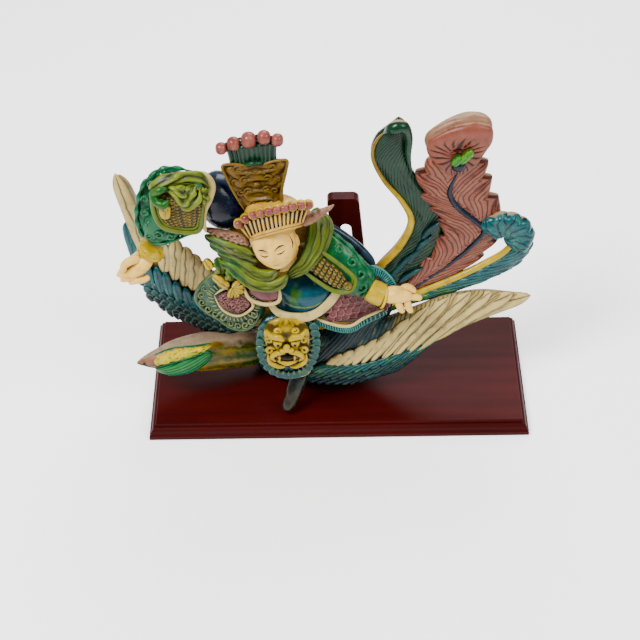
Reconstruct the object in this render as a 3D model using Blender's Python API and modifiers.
"""Roof ridge figure: an armoured rider on a phoenix, in glazed earthenware, on a wooden stand.

Three pieces: the fired figure, the moulded board it rests on and the slotted upright behind it.
The figure is modelled from limbs (round forms on a spine) and blades (flat forms between two edges),
run together as the modeller ran the wet clay together, then cut flat where it meets the stand.
Units are metres, +Z is up, the viewer stands at -Y, and the origin is the middle of the board's underside.
"""
import math

import bmesh
import bpy
from mathutils import Matrix, Vector

# Driving dimensions of the stand
BOARD_LENGTH = 0.290
BOARD_DEPTH = 0.121
BOARD_THICKNESS = 0.013
RIM_SETBACK = 0.005
BEAD_HEIGHT = 0.0045
FILLET_HEIGHT = 0.003
UPRIGHT_HEIGHT = 0.149
UPRIGHT_TOP_WIDTH = 0.0235
UPRIGHT_FOOT_WIDTH = 0.0255
UPRIGHT_THICKNESS = 0.0085
UPRIGHT_CORNER = 0.0045
UPRIGHT_LEAN = math.radians(4.4)
UPRIGHT_X = 0.0165
UPRIGHT_FRONT_Y = 0.030
SLOT_WIDTH = 0.0080
SLOT_LENGTH = 0.058
SLOT_FROM_TOP = 0.0245
CLEARANCE = 0.0003

# Driving dimensions of the figure: its pose and carving are shares of its length
FIGURE_LENGTH = 0.305
UNIT = FIGURE_LENGTH / 30.5
VOXEL = 0.14 * UNIT
FIGURE_TRIANGLES = 9400
BACK_Y = UPRIGHT_FRONT_Y - CLEARANCE
SEAT_Z = BOARD_THICKNESS + CLEARANCE

FRONT = Vector((0.0, -1.0, 0.0))
FRONT_ABOVE = Vector((0.0, -0.8, 0.6))


def clear_scene():
    for obj in list(bpy.data.objects):
        bpy.data.objects.remove(obj, do_unlink=True)


def collection(name, hidden=False):
    made = bpy.data.collections.new(name)
    bpy.context.scene.collection.children.link(made)
    made.hide_render = hidden
    return made


def material(name, colour, roughness, coat=0.0):
    made = bpy.data.materials.new(name)
    made.use_nodes = True
    shader = made.node_tree.nodes["Principled BSDF"]
    shader.inputs["Base Color"].default_value = (*colour, 1.0)
    shader.inputs["Roughness"].default_value = roughness
    shader.inputs["Metallic"].default_value = 0.0
    shader.inputs["Coat Weight"].default_value = coat
    made.diffuse_color = (*colour, 1.0)
    return made


def mesh_object(name, clay, group, finish=None):
    """A mesh object made from a bmesh, in a collection, with its material."""
    mesh = bpy.data.meshes.new(name)
    clay.to_mesh(mesh)
    clay.free()
    obj = bpy.data.objects.new(name, mesh)
    group.objects.link(obj)
    if finish:
        mesh.materials.append(finish)
    return obj


def box_object(name, low, high, group):
    """A plain box between two corners, used as a cutter."""
    clay = bmesh.new()
    bmesh.ops.create_cube(clay, size=1.0)
    low, high = Vector(low), Vector(high)
    bmesh.ops.scale(clay, vec=high - low, verts=clay.verts)
    bmesh.ops.translate(clay, vec=(low + high) / 2, verts=clay.verts)
    obj = mesh_object(name, clay, group)
    obj.hide_render = True
    obj.display_type = "WIRE"
    return obj


def through(stops, share):
    """The value at a share (0 to 1) of a smooth curve through evenly spaced stops, numbers or points."""
    last = len(stops) - 1
    place = min(max(share, 0.0), 1.0) * last
    start = min(int(place), last - 1)
    a, b, c, d = (stops[min(max(start + k, 0), last)] for k in (-1, 0, 1, 2))
    f = place - start
    return 0.5 * (2 * b + (c - a) * f + (2 * a - 5 * b + 4 * c - d) * f**2
                  + (3 * b - a - 3 * c + d) * f**3)


def points(*places):
    return [Vector(place) for place in places]


def rounded(value, power):
    """A cosine or sine pushed outwards, so that a section is fuller than an ellipse."""
    return math.copysign(abs(value) ** power, value)


def add_form(clay, section, rings, sides, blunt):
    """A closed form: a sphere whose rings are moved to the sections of a spine.

    section(share) gives the centre and the two half-axes of the ring at that share of the length.
    """
    ball = bmesh.ops.create_uvsphere(clay, u_segments=sides, v_segments=rings, radius=1.0)
    for vert in ball["verts"]:
        polar = math.acos(min(max(vert.co.z, -1.0), 1.0))
        around = math.atan2(vert.co.y, vert.co.x)
        centre, across, deep, fullness = section(polar / math.pi)
        swell = 1.0 - (1.0 - math.sin(polar)) ** blunt
        vert.co = (centre + across * swell * rounded(math.cos(around), fullness)
                   + deep * swell * rounded(math.sin(around), fullness))


def add_limb(clay, spine, radii, side=(0.0, 1.0, 0.0), flat=1.0, rings=18, sides=14, blunt=4):
    """A round form along a spine; flat is its depth as a share of its width."""
    spine = points(*spine)
    side = Vector(side)

    def section(share):
        step = 0.01
        tangent = (through(spine, share + step) - through(spine, share - step)).normalized()
        across = (side - tangent * side.dot(tangent)).normalized()
        radius = through(radii, share)
        return through(spine, share), across * radius, tangent.cross(across) * radius * flat, 1.0

    add_form(clay, section, rings, sides, blunt)


def add_blade(clay, edge_a, edge_b, depths, facing=FRONT, rings=28, sides=16, blunt=5, full=0.75,
              ragged=None):
    """A flat form between two edges, facing one way; ragged(share) widens or narrows it."""
    edge_a, edge_b = points(*edge_a), points(*edge_b)

    def section(share):
        a, b = through(edge_a, share), through(edge_b, share)
        half = (b - a) / 2
        if ragged:
            half = half * ragged(share)
        line = half.normalized()
        normal = (facing - line * facing.dot(line)).normalized()
        return (a + b) / 2, half, normal * through(depths, share), full

    add_form(clay, section, rings, sides, blunt)


def add_ball(clay, centre, radii, sides=14):
    ball = bmesh.ops.create_uvsphere(clay, u_segments=sides, v_segments=sides // 2 + 2, radius=1.0)
    bmesh.ops.scale(clay, vec=radii, verts=ball["verts"])
    bmesh.ops.translate(clay, vec=centre, verts=ball["verts"])


def add_leaf(clay, start, end, width, depth, facing=FRONT, bend=0.0, foot=0.6, rings=10, sides=8):
    """A pressed leaf of clay for a feather, a scale or a petal: narrow at its foot, wide at its round tip."""
    start, end = Vector(start), Vector(end)
    across = (end - start).cross(facing).normalized()
    shares = [k / 4 for k in range(5)]
    middle = [start.lerp(end, s) + across * bend * math.sin(math.pi * s) for s in shares]
    half = [width / 2 * (foot + (1 - foot) * math.sin(math.pi / 2 * min(1.0, 1.6 * s))) for s in shares]
    add_blade(clay, [m - across * w for m, w in zip(middle, half)],
              [m + across * w for m, w in zip(middle, half)], [depth] * 3, facing, rings=rings, sides=sides)


def add_leaves(clay, feet, tips, widths, depth, facing=FRONT, bend=0.0, foot=0.6):
    """A row of leaves between a line of feet and a line of tips."""
    for start, end, width in zip(feet, tips, widths):
        add_leaf(clay, start, end, width, depth, facing, bend, foot)


def evenly(stops, count):
    """Points spread evenly along a curve."""
    stops = points(*stops)
    return [through(stops, k / (count - 1)) for k in range(count)]


def saw(teeth, deep):
    """A ragged edge of rounded teeth along a feather."""
    return lambda share: 1.0 - deep * (1.0 - abs(math.sin(math.pi * teeth * share))) ** 1.5


def phoenix_body(clay):
    """The bird's body: it rests on the board, carries the rider and runs back into the tail."""
    add_limb(clay, [(-7.0, -0.1, 2.1), (-4.6, 0.4, 1.8), (-1.6, 0.6, 2.1), (0.8, 0.8, 4.3),
                    (2.8, 0.9, 6.8), (5.0, 0.9, 8.8)],
             [1.5, 2.5, 3.0, 2.9, 2.1, 1.0], flat=0.85, rings=30, sides=24)


def phoenix_head(clay):
    """Neck and head stretched forward, low over the end of the board, with a plumed cheek."""
    add_limb(clay, [(-5.4, 0.3, 2.4), (-8.0, -0.4, 2.7), (-10.4, -0.9, 3.1), (-12.6, -1.4, 3.2),
                    (-14.9, -1.9, 3.0)],
             [1.8, 1.45, 1.5, 1.15, 0.25], rings=24)
    add_blade(clay, [(-14.1, -2.1, 4.1), (-12.2, -2.2, 4.7), (-10.2, -2.1, 4.8), (-9.1, -2.0, 4.4)],
              [(-14.0, -2.4, 3.1), (-12.4, -2.7, 2.6), (-10.6, -2.5, 2.9), (-9.2, -2.0, 3.8)],
              [0.35, 0.45, 0.4, 0.3], FRONT_ABOVE)
    add_limb(clay, [(-14.0, -2.35, 3.5), (-12.4, -2.85, 3.6), (-10.9, -2.8, 4.1), (-9.5, -2.3, 4.5)],
             [0.12, 0.2, 0.2, 0.12], rings=12, sides=8)


def left_wing(clay):
    """The raised wing behind the rider's raised arm."""
    add_blade(clay,
              [(-6.0, 0.9, 1.6), (-8.8, 1.2, 3.3), (-10.6, 1.4, 3.9), (-12.2, 1.5, 4.7),
               (-13.8, 1.6, 6.1), (-14.9, 1.7, 8.2), (-15.5, 1.8, 10.8), (-15.6, 1.8, 13.8),
               (-15.8, 1.8, 16.6), (-16.0, 1.8, 18.6)],
              [(-4.5, 0.9, 8.0), (-6.2, 1.0, 8.8), (-8.0, 1.1, 9.0), (-9.6, 1.3, 9.6),
               (-10.8, 1.4, 10.5), (-12.3, 1.5, 11.4), (-13.2, 1.6, 12.8), (-14.0, 1.7, 15.2),
               (-14.7, 1.8, 17.6), (-15.5, 1.8, 18.8)],
              [0.9, 0.9, 0.85, 0.75, 0.65, 0.55, 0.5, 0.45, 0.4, 0.35], rings=44)
    add_leaves(clay,
               [(-14.1, 1.0, 10.6), (-12.9, 0.9, 9.9), (-12.1, 0.9, 9.2), (-11.4, 0.9, 8.5),
                (-10.8, 0.8, 8.2), (-10.2, 0.8, 8.2), (-9.6, 0.7, 8.2)],
               [(-15.5, 1.4, 18.9), (-12.6, 1.1, 12.3), (-11.8, 1.1, 12.9), (-11.1, 1.1, 12.3),
                (-10.5, 1.0, 11.5), (-9.9, 1.0, 11.0), (-9.2, 0.9, 10.1)],
               [1.5] + [1.0] * 6, 0.4)
    for low, high in (((-14.4, 0.6, 9.4), (-8.6, 0.4, 5.0)), ((-13.6, 0.6, 7.4), (-8.2, 0.4, 4.0))):
        for place in evenly((low, high), 7):
            add_leaf(clay, place + Vector((0.25, 0.1, -0.6)), place + Vector((-0.25, -0.1, 0.7)), 0.95, 0.35)


def right_wing(clay):
    """The lowered wing in front of the body, curving up to a point at the viewer's right."""
    add_blade(clay,
              [(-3.4, -0.6, 0.9), (-1.6, -1.3, 0.7), (0.2, -1.7, 0.6), (1.8, -1.8, 0.75),
               (3.1, -1.7, 1.1), (4.3, -1.6, 2.0), (5.6, -1.4, 3.2), (7.1, -1.1, 4.3),
               (8.9, -0.8, 5.4), (11.2, -0.3, 6.4), (13.0, 0.2, 7.0), (14.4, 0.5, 7.3)],
              [(-3.0, -0.8, 5.3), (-1.2, -0.9, 5.4), (0.2, -0.9, 5.5), (1.9, -0.8, 5.8),
               (3.5, -0.7, 6.2), (4.9, -0.6, 6.8), (6.4, -0.5, 7.5), (7.7, -0.4, 8.1),
               (9.2, -0.2, 8.4), (11.0, 0.0, 8.4), (12.8, 0.3, 7.9), (14.4, 0.5, 7.5)],
              [0.9, 1.0, 1.0, 0.95, 0.9, 0.8, 0.7, 0.6, 0.5, 0.4, 0.35, 0.3],
              FRONT_ABOVE, rings=44)
    add_leaves(clay,
               [(6.9, -1.6, 4.2), (6.2, -1.8, 3.9), (5.2, -2.1, 3.6), (4.3, -2.3, 3.5), (3.4, -2.45, 3.4),
                (2.5, -2.6, 3.3), (1.7, -2.7, 3.3), (0.9, -2.75, 3.2), (0.2, -2.75, 3.1)],
               [(14.4, 0.2, 7.4), (12.5, -0.1, 7.9), (10.7, -0.4, 8.3), (8.4, -0.8, 8.2), (6.4, -1.2, 7.3),
                (4.4, -1.6, 5.8), (3.2, -1.9, 4.9), (2.3, -2.1, 4.6), (1.4, -2.2, 4.2)],
               [1.2, 1.15, 1.1, 1.0, 0.95, 0.9, 0.8, 0.75, 0.7], 0.3, FRONT_ABOVE, 0.3, 0.4)
    add_leaves(clay, evenly([(-1.9, -2.6, 2.5), (1.6, -2.75, 2.75), (5.0, -1.9, 3.1)], 7),
               evenly([(-1.0, -2.6, 3.0), (2.4, -2.6, 3.35), (7.4, -1.35, 4.35)], 7), [0.75] * 7, 0.35,
               FRONT_ABOVE)
    add_leaves(clay, evenly([(-3.0, -2.2, 1.4), (0.8, -2.6, 1.5), (4.2, -2.0, 2.0)], 7),
               evenly([(-1.5, -2.4, 2.0), (1.9, -2.7, 2.2), (6.2, -1.6, 3.2)], 7), [0.8] * 7, 0.35, FRONT_ABOVE)


def tail(clay):
    """Three tail feathers fanned up to the right: green, then the great eyed one, then the short one."""
    add_blade(clay,
              [(0.9, 0.8, 7.2), (3.1, 0.9, 10.5), (4.6, 1.0, 12.6), (5.3, 1.2, 14.6),
               (4.6, 1.3, 16.4), (3.3, 1.5, 18.2), (2.5, 1.6, 20.2), (2.8, 1.8, 21.6),
               (3.9, 1.9, 22.6), (4.4, 1.9, 23.2)],
              [(2.6, 0.8, 6.6), (5.5, 0.9, 9.2), (7.2, 1.0, 11.4), (7.8, 1.2, 13.6),
               (7.4, 1.3, 15.8), (6.0, 1.5, 17.8), (5.4, 1.6, 19.8), (5.5, 1.8, 21.4),
               (5.4, 1.9, 22.6), (4.9, 1.9, 23.2)],
              [0.8, 0.7, 0.6, 0.55, 0.5, 0.5, 0.5, 0.5, 0.45, 0.4], rings=40)
    add_blade(clay,
              [(2.2, 0.8, 6.6), (4.8, 0.8, 8.6), (6.4, 0.8, 10.9), (7.5, 0.9, 12.3),
               (8.0, 1.0, 13.6), (7.6, 1.1, 15.2), (6.3, 1.3, 16.8), (5.9, 1.4, 18.2),
               (6.3, 1.5, 19.7), (6.3, 1.6, 21.2), (7.3, 1.7, 22.4), (9.2, 1.8, 23.5)],
              [(3.2, 0.8, 5.8), (6.3, 0.7, 7.6), (8.4, 0.7, 8.8), (10.4, 0.8, 11.0),
               (11.6, 0.9, 12.8), (11.6, 1.0, 14.6), (11.9, 1.2, 16.2), (11.2, 1.3, 17.6),
               (10.5, 1.4, 19.0), (10.7, 1.5, 20.8), (11.0, 1.6, 22.4), (10.4, 1.7, 23.4)],
              [0.9, 0.75, 0.65, 0.6, 0.6, 0.6, 0.6, 0.6, 0.6, 0.6, 0.6, 0.5],
              rings=72, ragged=saw(11, 0.16))
    add_blade(clay,
              [(2.8, 0.3, 6.4), (5.2, 0.3, 7.6), (7.2, 0.3, 8.6), (9.2, 0.4, 9.8),
               (11.0, 0.5, 11.0), (12.2, 0.6, 12.4), (12.6, 0.8, 13.8)],
              [(3.4, 0.3, 5.6), (5.8, 0.3, 7.0), (8.2, 0.3, 7.8), (10.6, 0.4, 9.0),
               (12.6, 0.6, 10.3), (14.0, 0.7, 11.5), (14.4, 0.8, 12.8)],
              [0.6, 0.6, 0.55, 0.5, 0.5, 0.5, 0.5], rings=30)
    for k in range(6):
        swing = math.radians(-38 + 33 * k)
        tip = (12.2 + 2.0 * math.sin(swing), 0.6, 13.7 + 1.8 * math.cos(swing))
        add_leaf(clay, (12.0, 0.5, 13.6), tip, 1.2, 0.55, foot=0.3)
    # Quills, the inrolled tip of the green feather and the eye of the great one
    add_limb(clay, [(1.4, 0.5, 7.4), (3.2, 0.55, 10.5), (4.7, 0.65, 12.6), (5.4, 0.85, 14.6), (4.7, 0.95, 16.4),
                    (3.4, 1.15, 18.2), (2.6, 1.3, 20.2)], [0.42, 0.38, 0.32, 0.28, 0.25, 0.22, 0.16],
             rings=24, sides=8)
    add_limb(clay, [(3.4, 1.5, 22.2), (4.2, 1.2, 22.9), (5.0, 1.3, 22.9), (5.5, 1.5, 21.8), (5.3, 1.4, 20.4)],
             [0.2, 0.5, 0.45, 0.3, 0.15], rings=14, sides=10)
    add_limb(clay, [(5.2, 0.15, 8.2), (7.2, 0.25, 9.9), (8.8, 0.35, 11.4), (10.1, 0.4, 12.9), (10.7, 0.5, 14.0),
                    (10.0, 0.6, 14.9), (8.7, 0.7, 16.1), (8.1, 0.8, 17.2), (8.2, 0.9, 18.1), (8.6, 0.95, 19.4)],
             [0.24] * 3, rings=30, sides=8)
    add_ball(clay, (8.9, 0.9, 20.2), (0.75, 0.4, 0.6), sides=10)
    add_limb(clay, [(2.6, 0.0, 6.3), (4.4, 0.0, 7.3), (6.3, 0.05, 8.3), (9.0, 0.15, 9.7), (10.8, 0.3, 10.7),
                    (12.1, 0.4, 11.6), (12.8, 0.5, 12.6), (12.2, 0.5, 13.4)], [0.26] * 3, rings=24, sides=8)
    # Barbs of the great feather, two rows of them
    for foot, left, right in (((6.6, 0.3, 9.5), (6.3, 0.3, 11.4), (8.6, 0.3, 9.6)),
                              ((8.0, 0.35, 10.8), (7.4, 0.4, 12.8), (10.4, 0.4, 11.4)),
                              ((9.4, 0.4, 12.2), (8.3, 0.5, 14.2), (11.6, 0.5, 13.4)),
                              ((10.5, 0.5, 13.8), (8.0, 0.6, 15.6), (11.9, 0.6, 15.8)),
                              ((9.2, 0.65, 15.6), (6.6, 0.8, 17.0), (11.4, 0.75, 17.6)),
                              ((8.3, 0.75, 16.9), (6.1, 0.9, 19.0), (10.7, 0.85, 19.2))):
        add_leaf(clay, foot, left, 1.3, 0.22, bend=0.2)
        add_leaf(clay, foot, right, 1.3, 0.22, bend=-0.2)


def rider_body(clay):
    """Seat, chest, the round belly plate and the rolled hem under it."""
    add_limb(clay, [(-2.9, 0.4, 4.5), (-3.0, 0.1, 7.5), (-3.3, -0.3, 10.5), (-4.2, -0.2, 13.4),
                    (-4.5, -0.8, 16.0)],
             [2.8, 2.7, 2.5, 3.4, 1.7], side=(1, 0, 0), flat=0.72, rings=30, sides=24)
    add_ball(clay, (-2.6, -1.3, 10.5), (2.6, 2.2, 2.3), sides=20)
    add_limb(clay, [(-5.0, -2.6, 10.6), (-4.2, -3.2, 9.5), (-2.9, -3.5, 9.0), (-1.3, -3.3, 9.6),
                    (-0.1, -2.5, 11.2)], [0.35, 0.45, 0.5, 0.45, 0.35])
    add_limb(clay, [(-2.3, -2.95, 12.6), (-4.3, -2.95, 12.3), (-4.9, -3.15, 11.0), (-4.4, -3.5, 9.8)],
             [0.2] * 3, rings=14, sides=8)
    add_limb(clay, [(-8.2, 0.2, 17.2), (-6.6, 0.1, 16.4), (-4.4, -0.1, 15.6), (-2.4, -0.2, 15.2),
                    (-1.0, -0.4, 14.9)], [1.5, 1.8, 1.8, 1.6, 1.3], rings=22)
    add_blade(clay, [(-6.6, -2.4, 11.9), (-5.6, -2.9, 12.2), (-4.6, -3.2, 12.0)],
              [(-5.8, -2.9, 10.8), (-5.0, -3.3, 10.7), (-4.0, -3.4, 11.2)], [0.3, 0.35, 0.3])


def rider_skirt(clay):
    """Thighs astride the bird, each under an armour flap, and the mask apron in front."""
    add_limb(clay, [(-3.8, 0.2, 7.6), (-6.0, -0.6, 8.6), (-8.2, -1.0, 9.2)], [2.4, 2.2, 1.7])
    add_limb(clay, [(-2.4, 0.2, 7.4), (-0.2, -0.6, 8.2), (2.2, -0.9, 8.6)], [2.4, 2.1, 1.5])
    add_blade(clay, [(-10.0, -0.9, 11.4), (-10.6, -1.4, 9.8), (-10.0, -1.8, 8.3), (-8.4, -2.3, 7.0),
                     (-6.8, -2.9, 6.9)],
              [(-7.6, -2.0, 12.2), (-6.6, -2.4, 11.6), (-5.8, -2.8, 10.8), (-5.3, -3.1, 9.8),
               (-5.6, -3.1, 8.2)],
              [0.4, 0.5, 0.5, 0.5, 0.4], FRONT_ABOVE, rings=26)
    add_blade(clay, [(-1.6, -2.9, 10.4), (0.2, -2.5, 10.8), (1.8, -2.0, 10.6), (3.2, -1.6, 9.6),
                     (3.9, -1.4, 8.6)],
              [(-1.7, -3.2, 8.6), (-0.4, -3.1, 8.0), (0.9, -3.0, 7.6), (2.4, -2.4, 7.8),
               (3.6, -1.8, 8.1)],
              [0.4, 0.5, 0.5, 0.45, 0.35], FRONT_ABOVE, rings=26)
    add_blade(clay, [(-5.2, -2.8, 10.4), (-5.8, -3.4, 9.2), (-6.0, -3.9, 7.2), (-5.6, -4.2, 5.6),
                     (-4.6, -4.3, 4.5), (-3.9, -4.2, 4.0)],
              [(-2.2, -3.0, 10.2), (-1.6, -3.4, 9.0), (-1.3, -3.9, 7.2), (-1.6, -4.2, 5.6),
               (-2.7, -4.3, 4.5), (-3.5, -4.2, 4.0)],
              [0.45, 0.5, 0.5, 0.5, 0.45, 0.35], rings=28)
    add_limb(clay, [(-3.6, -1.8, 8.6), (-3.6, -2.6, 6.6), (-3.5, -3.0, 5.0)], [1.5, 1.4, 1.1])
    # Rolled rims of the three flaps
    add_limb(clay, [(-9.3, -1.7, 11.9), (-10.3, -1.8, 10.5), (-10.4, -2.0, 9.3), (-9.2, -2.4, 8.0),
                    (-7.4, -3.0, 7.1), (-6.1, -3.35, 7.6), (-5.5, -3.4, 9.4)], [0.32] * 3, rings=26, sides=8)
    add_limb(clay, [(-1.5, -3.45, 9.0), (-0.6, -3.5, 8.5), (0.4, -3.45, 8.1), (1.3, -3.3, 8.2), (3.4, -2.5, 8.8)],
             [0.28] * 3, rings=18, sides=8)
    add_limb(clay, [(-5.7, -4.0, 8.6), (-5.8, -4.4, 7.3), (-5.5, -4.6, 5.8), (-4.9, -4.75, 4.7), (-3.7, -4.8, 4.2),
                    (-2.5, -4.75, 4.7), (-1.8, -4.6, 5.8), (-1.4, -4.4, 7.2), (-1.6, -4.0, 8.6)],
             [0.26] * 3, rings=30, sides=8)
    # The mask: a raised plate with brows, eyes, nose and mouth
    add_blade(clay, [(-4.9, -3.9, 9.8), (-5.3, -4.4, 8.6), (-5.1, -4.7, 7.2), (-3.9, -4.9, 5.6)],
              [(-2.4, -3.9, 9.8), (-2.0, -4.4, 8.6), (-2.1, -4.7, 7.2), (-3.4, -4.9, 5.6)], [0.35] * 3, rings=16)
    for side in (-1, 1):
        middle = -3.65
        add_limb(clay, [(middle + side * 0.2, -5.0, 8.4), (middle + side * 0.8, -4.95, 8.9),
                        (middle + side * 1.4, -4.8, 8.6)], [0.2, 0.32, 0.2], rings=8, sides=8)
        add_ball(clay, (middle + side * 0.75, -4.95, 8.0), (0.36, 0.3, 0.32), sides=8)
    add_ball(clay, (-3.65, -5.0, 7.6), (0.45, 0.4, 0.4), sides=8)
    add_limb(clay, [(-4.6, -4.9, 6.7), (-3.65, -5.1, 6.3), (-2.7, -4.9, 6.7)], [0.2, 0.3, 0.2], rings=8, sides=8)


def rider_leg(clay):
    """The one foot that shows: a boot under the apron with its toe on the board."""
    add_limb(clay, [(-3.2, -1.6, 5.2), (-3.2, -2.9, 4.4), (-3.2, -3.6, 3.4)], [1.2, 1.1, 0.9])
    add_limb(clay, [(-2.7, -3.2, 3.6), (-3.1, -3.8, 2.6), (-3.6, -4.3, 1.3), (-4.1, -4.7, 0.3)],
             [0.7, 0.62, 0.6, 0.5], side=(1, 0, 0), flat=0.8)


def raised_arm(clay):
    """The rider's right arm: cape over the shoulder, a wide armoured sleeve, a cuff and the hand."""
    add_limb(clay, [(-6.8, 0.0, 16.2), (-7.8, -0.1, 17.4), (-8.6, -0.2, 18.6), (-9.4, -0.2, 19.4)],
             [1.7, 1.9, 1.6, 1.0])
    add_limb(clay, [(-8.6, -0.4, 17.4), (-10.4, -0.9, 18.2), (-11.9, -1.1, 18.0), (-12.8, -1.4, 16.6),
                    (-13.3, -1.7, 15.0)], [1.7, 2.0, 2.0, 1.7, 0.9], flat=1.0, rings=26)
    add_blade(clay, [(-9.6, -0.5, 20.3), (-11.6, -0.6, 21.2), (-13.4, -0.9, 20.4), (-14.2, -1.3, 18.4),
                     (-14.3, -1.5, 16.6), (-13.8, -1.7, 15.3)],
              [(-9.3, -1.1, 15.9), (-10.2, -1.4, 15.8), (-11.0, -1.6, 15.4), (-11.7, -1.8, 14.9),
               (-12.3, -1.8, 14.6), (-13.0, -1.8, 14.6)],
              [0.5, 0.6, 0.6, 0.5, 0.5, 0.4], rings=28, ragged=saw(7, 0.05))
    add_blade(clay, [(-12.2, -2.4, 19.9), (-11.0, -2.7, 20.5), (-9.8, -2.4, 20.3), (-9.0, -1.8, 19.8)],
              [(-12.4, -2.7, 19.2), (-11.0, -3.1, 19.0), (-9.9, -2.9, 18.6), (-9.0, -2.2, 19.2)],
              [0.3, 0.45, 0.45, 0.3])
    add_limb(clay, [(-12.9, -1.7, 15.2), (-13.3, -1.8, 14.4), (-13.6, -1.9, 13.6)], [1.05, 1.1, 1.0],
             blunt=9)
    add_limb(clay, [(-13.3, -1.8, 14.1), (-13.8, -2.1, 13.2), (-14.4, -2.3, 12.8), (-15.6, -2.4, 12.6)],
             [0.75, 0.85, 0.7, 0.25], flat=0.7)
    add_limb(clay, [(-13.9, -2.0, 13.9), (-14.7, -2.5, 13.7), (-14.9, -2.6, 13.1)], [0.4, 0.35, 0.3])


def lowered_arm(clay):
    """The rider's left arm, held out to the viewer's right, with its cape, armour flap and hand."""
    add_limb(clay, [(-1.6, -0.4, 14.8), (0.0, -1.4, 13.8), (1.5, -2.2, 12.6), (2.8, -2.7, 11.6)],
             [1.5, 1.45, 1.35, 0.9], rings=22)
    add_blade(clay, [(-1.6, 0.3, 15.4), (0.2, 0.2, 14.2), (1.8, -0.1, 12.8), (2.9, -0.4, 11.3)],
              [(-1.8, 0.2, 12.0), (-0.2, 0.1, 11.2), (1.2, -0.2, 10.4), (2.4, -0.5, 9.8)],
              [0.5, 0.5, 0.5, 0.4])
    add_blade(clay, [(-1.3, -0.9, 15.3), (0.4, -1.5, 14.7), (1.9, -2.0, 13.5), (2.6, -2.5, 12.2),
                     (2.4, -2.9, 11.4)],
              [(-2.0, -2.1, 12.9), (-0.9, -2.7, 12.0), (0.2, -3.1, 11.3), (1.2, -3.3, 10.9),
               (1.9, -3.3, 10.9)],
              [0.45, 0.55, 0.55, 0.5, 0.4], FRONT_ABOVE, rings=26)
    add_blade(clay, [(2.7, -1.6, 12.3), (3.6, -1.9, 11.9), (4.4, -2.3, 11.0)],
              [(2.2, -2.2, 11.4), (3.0, -2.5, 11.0), (3.8, -2.7, 10.4)], [0.3, 0.3, 0.3])
    add_limb(clay, [(2.0, -2.8, 11.6), (2.9, -3.0, 11.2), (3.8, -3.2, 10.9)], [0.95, 1.1, 0.8], blunt=8)
    add_limb(clay, [(3.2, -3.1, 11.1), (4.2, -3.3, 11.1), (5.2, -3.4, 11.1), (5.9, -3.4, 10.9)],
             [0.6, 0.65, 0.65, 0.35], flat=0.85)
    add_limb(clay, [(5.0, -3.2, 11.4), (5.3, -3.2, 11.9), (5.3, -3.2, 12.1)], [0.3, 0.28, 0.25])
    for start in (4.6, 5.1):
        add_limb(clay, [(start, -3.6, 11.0), (start + 0.3, -3.9, 10.4), (start + 0.4, -4.0, 10.0)],
                 [0.32, 0.3, 0.25], rings=10, sides=10)


def scarf(clay):
    """Thick rolls of cloth round the neck and over the shoulders."""
    add_limb(clay, [(-1.2, -0.2, 16.4), (-1.0, -1.5, 15.9), (-1.5, -2.6, 15.0), (-2.6, -3.5, 14.3),
                    (-3.8, -4.0, 13.8)], [1.1, 1.3, 1.2, 0.9, 0.5], rings=22)
    add_limb(clay, [(-9.0, -1.2, 15.3), (-7.8, -2.0, 15.1), (-6.6, -2.8, 14.9), (-5.4, -3.2, 14.3)],
             [0.6, 0.8, 0.8, 0.6])
    add_limb(clay, [(-7.4, -2.4, 13.9), (-6.2, -3.2, 13.3), (-5.0, -3.9, 12.7), (-3.8, -4.0, 12.8),
                    (-2.9, -3.6, 13.8)], [0.7, 0.8, 0.75, 0.7, 0.5], rings=22)
    add_blade(clay, [(-9.3, -1.8, 13.4), (-8.6, -2.2, 13.2), (-7.4, -2.6, 13.2)],
              [(-8.4, -2.4, 12.4), (-7.8, -2.7, 12.3), (-6.9, -2.9, 12.6)], [0.3, 0.35, 0.3])


def tilted(clay, count, pivot, lean):
    """Turns the forms added after the first count vertices about a point, in the picture plane."""
    clay.verts.ensure_lookup_table()
    bmesh.ops.rotate(clay, cent=pivot, matrix=Matrix.Rotation(-lean, 3, "Y"), verts=clay.verts[count:])


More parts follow.
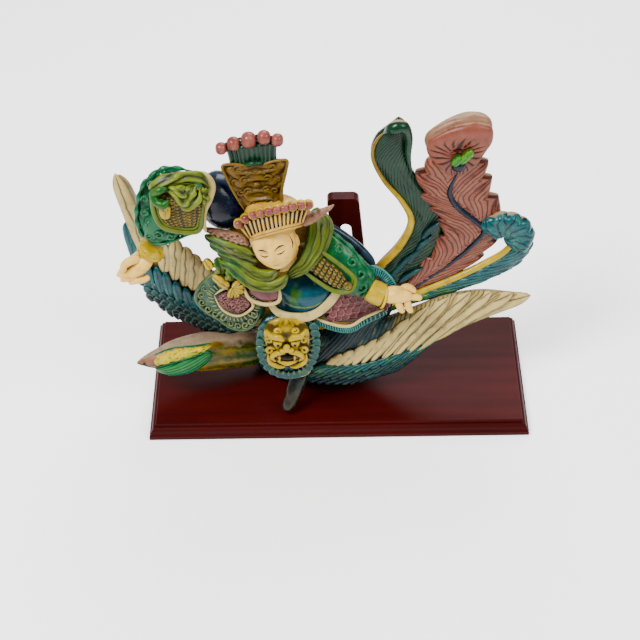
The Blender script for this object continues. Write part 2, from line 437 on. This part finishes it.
def head(clay):
    """Head, crown with its bobble rim, side ribbons, and the tall back plate with its tuft."""
    neck = Vector((-4.0, -2.4, 17.0))
    add_limb(clay, [(-4.2, -1.4, 14.0), (-4.1, -1.9, 15.4)], [1.0, 1.1], side=(1, 0, 0), rings=10)
    first = len(clay.verts)
    add_ball(clay, (-4.0, -2.5, 16.7), (1.5, 1.75, 2.0), sides=20)
    add_limb(clay, [(-4.0, -4.15, 16.9), (-4.0, -4.5, 16.2), (-4.0, -4.35, 15.9)], [0.2, 0.3, 0.2],
             rings=8, sides=8)
    add_limb(clay, [(-3.9, -2.5, 17.3), (-3.9, -2.5, 18.0), (-3.9, -2.5, 18.9), (-3.9, -2.5, 19.7)],
             [1.75, 2.1, 2.25, 1.2], side=(1, 0, 0), blunt=7, rings=20, sides=20)
    bobbles = 11
    for k in range(bobbles):
        swing = math.radians(-100 + 200 * k / (bobbles - 1))
        add_ball(clay, (-3.8 + 2.35 * math.sin(swing), -2.5 - 1.75 * math.cos(swing), 19.1),
                 (0.42, 0.42, 0.42), sides=10)
    add_limb(clay, [(-5.5, -2.6, 17.0), (-7.0, -2.4, 16.6), (-9.0, -2.0, 16.0)], [0.6, 0.55, 0.35])
    add_limb(clay, [(-2.6, -2.6, 17.6), (-1.5, -2.2, 17.7), (-0.2, -1.8, 17.5)], [0.5, 0.4, 0.15])
    add_blade(clay, [(-6.3, -1.6, 18.2), (-6.5, -1.4, 19.6), (-7.0, -1.1, 20.7), (-7.1, -0.9, 21.6)],
              [(-3.1, -1.6, 18.2), (-2.9, -1.4, 19.6), (-2.4, -1.1, 20.7), (-2.3, -0.9, 21.6)],
              [0.35, 0.35, 0.35, 0.35], blunt=10, full=0.6)
    add_blade(clay, [(-6.4, -0.9, 20.8), (-6.3, -0.7, 21.8), (-6.6, -0.6, 22.6)],
              [(-2.9, -0.9, 20.8), (-3.0, -0.7, 21.8), (-2.7, -0.6, 22.6)], [0.35, 0.35, 0.35],
              blunt=10)
    for k, size in enumerate((0.5, 0.62, 0.72, 0.62, 0.52)):
        add_ball(clay, (-6.9 + 1.1 * k, -0.7, 22.7 + 0.25 * math.sin(math.pi * k / 4)),
                 (size, size, size * 1.1), sides=12)
    tilted(clay, first, neck, math.radians(11))


def fired_figure(group, cutters, finish):
    """All the forms in one clay body, thinned to few faces, with a flat seat and a flat back."""
    clay = bmesh.new()
    for model in (phoenix_body, phoenix_head, left_wing, right_wing, tail, rider_body, rider_skirt,
                  rider_leg, raised_arm, lowered_arm, scarf, head):
        model(clay)
    bmesh.ops.recalc_face_normals(clay, faces=clay.faces)
    bmesh.ops.scale(clay, vec=(UNIT, UNIT, UNIT), verts=clay.verts)
    bmesh.ops.translate(clay, vec=(0, 0, SEAT_Z), verts=clay.verts)
    figure = mesh_object("ceramic_figure", clay, group, finish)

    joined = figure.modifiers.new("Run the clay together", "REMESH")
    joined.mode = "VOXEL"
    joined.voxel_size = VOXEL
    softened = figure.modifiers.new("Wipe smooth", "SMOOTH")
    softened.factor = 0.5
    softened.iterations = 2
    graph = bpy.context.evaluated_depsgraph_get()
    whole = figure.evaluated_get(graph).to_mesh()
    whole.calc_loop_triangles()
    thinned = figure.modifiers.new("Thin the faces", "DECIMATE")
    thinned.ratio = FIGURE_TRIANGLES / len(whole.loop_triangles)

    reach = 2 * FIGURE_LENGTH
    planes = {
        "seat_cut": ((-reach, -reach, -reach), (reach, reach, SEAT_Z)),
        "back_cut": ((-reach, BACK_Y, -reach), (reach, reach, reach)),
    }
    for name, (low, high) in planes.items():
        cut = figure.modifiers.new(name, "BOOLEAN")
        cut.operation = "DIFFERENCE"
        cut.object = box_object(name, low, high, cutters)
    return figure


def board(group, finish):
    """The base board: a rectangle carried up through a bead, a cove and a fillet to its flat top."""
    clay = bmesh.new()
    bmesh.ops.create_grid(clay, x_segments=1, y_segments=1, size=0.5)
    bmesh.ops.scale(clay, vec=(BOARD_LENGTH, BOARD_DEPTH, 1.0), verts=clay.verts)
    ease = 0.0008
    cove_foot = BEAD_HEIGHT + 0.0008
    cove_top = BOARD_THICKNESS - FILLET_HEIGHT
    profile = [(0.0, ease), (0.0, BEAD_HEIGHT - ease), (ease, BEAD_HEIGHT), (0.0016, cove_foot)]
    steps = 5
    for k in range(1, steps + 1):
        turn = math.pi / 2 * k / steps
        profile.append((0.0016 + (RIM_SETBACK - 0.0022) * (1 - math.cos(turn)),
                        cove_foot + (cove_top - cove_foot) * math.sin(turn)))
    profile += [(RIM_SETBACK, cove_top), (RIM_SETBACK, BOARD_THICKNESS - ease / 2),
                (RIM_SETBACK + ease / 2, BOARD_THICKNESS)]
    first = clay.faces[:]
    bmesh.ops.scale(clay, verts=clay.verts,
                    vec=(1 - 2 * ease / BOARD_LENGTH, 1 - 2 * ease / BOARD_DEPTH, 1.0))
    top = first
    for setback, height in profile:
        grown = bmesh.ops.extrude_face_region(clay, geom=top, use_keep_orig=True)
        raised = [item for item in grown["geom"] if isinstance(item, bmesh.types.BMVert)]
        for vert in raised:
            vert.co.x = math.copysign(BOARD_LENGTH / 2 - setback, vert.co.x)
            vert.co.y = math.copysign(BOARD_DEPTH / 2 - setback, vert.co.y)
            vert.co.z = height
        if top is not first:
            bmesh.ops.delete(clay, geom=top, context="FACES_ONLY")
        top = [item for item in grown["geom"] if isinstance(item, bmesh.types.BMFace)]
    bmesh.ops.recalc_face_normals(clay, faces=clay.faces)
    return mesh_object("stand_board", clay, group, finish)


def arc(centre, radius, start, end, steps):
    """Points along a circle's arc in the upright's own plane."""
    return [(centre[0] + radius * math.cos(start + (end - start) * k / steps),
             centre[1] + radius * math.sin(start + (end - start) * k / steps))
            for k in range(steps + 1)]


def upright(group, finish):
    """The slotted upright: a tapered flat piece with round shoulders, leaning a little."""
    top, foot, corner = UPRIGHT_TOP_WIDTH / 2, UPRIGHT_FOOT_WIDTH / 2, UPRIGHT_CORNER
    rise = UPRIGHT_HEIGHT - corner
    outline = [(-foot, 0.0), (foot, 0.0)]
    outline += arc((top - corner, rise), corner, 0.0, math.pi / 2, 6)
    outline += arc((corner - top, rise), corner, math.pi / 2, math.pi, 6)
    slot_r = SLOT_WIDTH / 2
    slot_top = UPRIGHT_HEIGHT - SLOT_FROM_TOP - slot_r
    slot_foot = slot_top - SLOT_LENGTH + SLOT_WIDTH
    slot = arc((0.0, slot_top), slot_r, 0.0, math.pi, 10)
    slot += arc((0.0, slot_foot), slot_r, math.pi, 2 * math.pi, 10)

    shape = bpy.data.curves.new("upright_outline", "CURVE")
    shape.dimensions = "2D"
    shape.fill_mode = "BOTH"
    shape.extrude = UPRIGHT_THICKNESS / 2
    for ring in (outline, slot):
        spline = shape.splines.new("POLY")
        spline.points.add(len(ring) - 1)
        spline.use_cyclic_u = True
        for point, (x, z) in zip(spline.points, ring):
            # The lean shears the outline, so its foot stays flat on the board.
            point.co = (x - z * math.tan(UPRIGHT_LEAN), z, 0.0, 1.0)
    obj = bpy.data.objects.new("stand_upright", shape)
    shape.materials.append(finish)
    group.objects.link(obj)
    obj.rotation_euler = (math.pi / 2, 0.0, 0.0)
    obj.location = (UPRIGHT_X, UPRIGHT_FRONT_Y + UPRIGHT_THICKNESS / 2, BOARD_THICKNESS + CLEARANCE)
    return obj


def main():
    clear_scene()
    figure_group = collection("roof_ridge_figure")
    cutters = collection("cutters", hidden=True)
    glaze = material("glazed_earthenware", (0.11, 0.30, 0.22), 0.25, coat=0.5)
    rosewood = material("dark_red_wood", (0.11, 0.012, 0.012), 0.32)
    board(figure_group, rosewood)
    upright(figure_group, rosewood)
    fired_figure(figure_group, cutters, glaze)


main()
